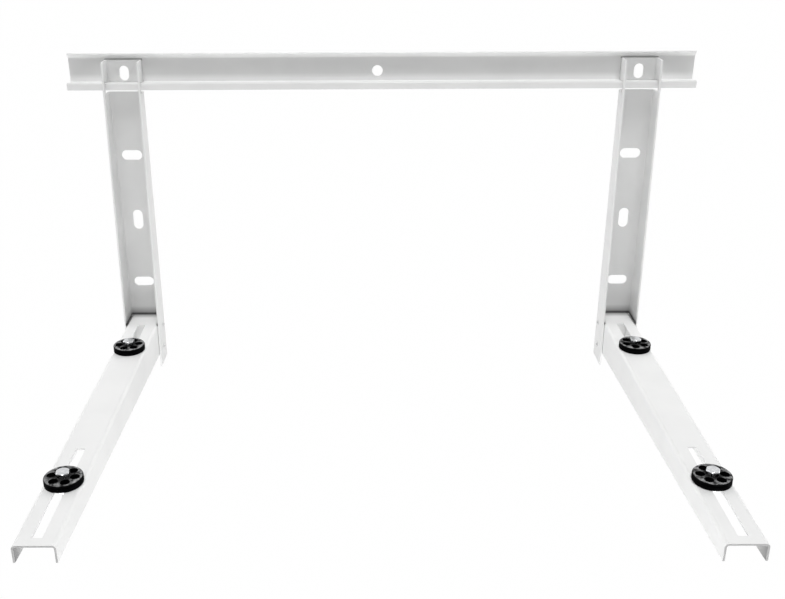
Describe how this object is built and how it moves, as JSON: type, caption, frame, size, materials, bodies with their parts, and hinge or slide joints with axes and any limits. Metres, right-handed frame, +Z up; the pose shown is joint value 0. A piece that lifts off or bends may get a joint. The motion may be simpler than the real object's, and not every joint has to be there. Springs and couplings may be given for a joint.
{
  "type": "outdoor unit wall bracket",
  "caption": "White folded-steel wall bracket: a crossbar, slotted uprights hooked over it and long tapered arms with rubber dampers that carry an outdoor unit.",
  "frame": {"origin": "on the wall face of the crossbar at mid-length, on flat sheet just below the centre hole", "axes": "+X along the crossbar to the right as seen from the front, +Y into the wall, +Z up; the arms reach out along -Y"},
  "size_m": [0.8, 0.535, 0.4251],
  "materials": {
    "white_painted_steel": "white powder coat, semi-gloss",
    "rivet_steel": "coated over, dull",
    "black_rubber": "matt moulded rubber",
    "zinc_plated_steel": "bright zinc plate"
  },
  "bodies": {
    "root": {"crossbar": "white_painted_steel", "left_upright": "white_painted_steel", "left_arm": "white_painted_steel", "right_upright": "white_painted_steel", "right_arm": "white_painted_steel", "rivet_left_outer_upper": "rivet_steel", "rivet_left_outer_lower": "rivet_steel", "rivet_left_inner_upper": "rivet_steel", "rivet_left_inner_lower": "rivet_steel", "rivet_right_outer_upper": "rivet_steel", "rivet_right_outer_lower": "rivet_steel", "rivet_right_inner_upper": "rivet_steel", "rivet_right_inner_lower": "rivet_steel", "damper_left_rear": "black_rubber", "damper_left_front": "black_rubber", "damper_right_rear": "black_rubber", "damper_right_front": "black_rubber", "bolt_left_rear": "zinc_plated_steel", "bolt_left_front": "zinc_plated_steel", "bolt_right_rear": "zinc_plated_steel", "bolt_right_front": "zinc_plated_steel", "washer_left_rear": "zinc_plated_steel", "washer_left_front": "zinc_plated_steel", "washer_right_rear": "zinc_plated_steel", "washer_right_front": "zinc_plated_steel", "nut_left_rear": "zinc_plated_steel", "nut_left_front": "zinc_plated_steel", "nut_right_rear": "zinc_plated_steel", "nut_right_front": "zinc_plated_steel"}
  },
  "joints": []
}
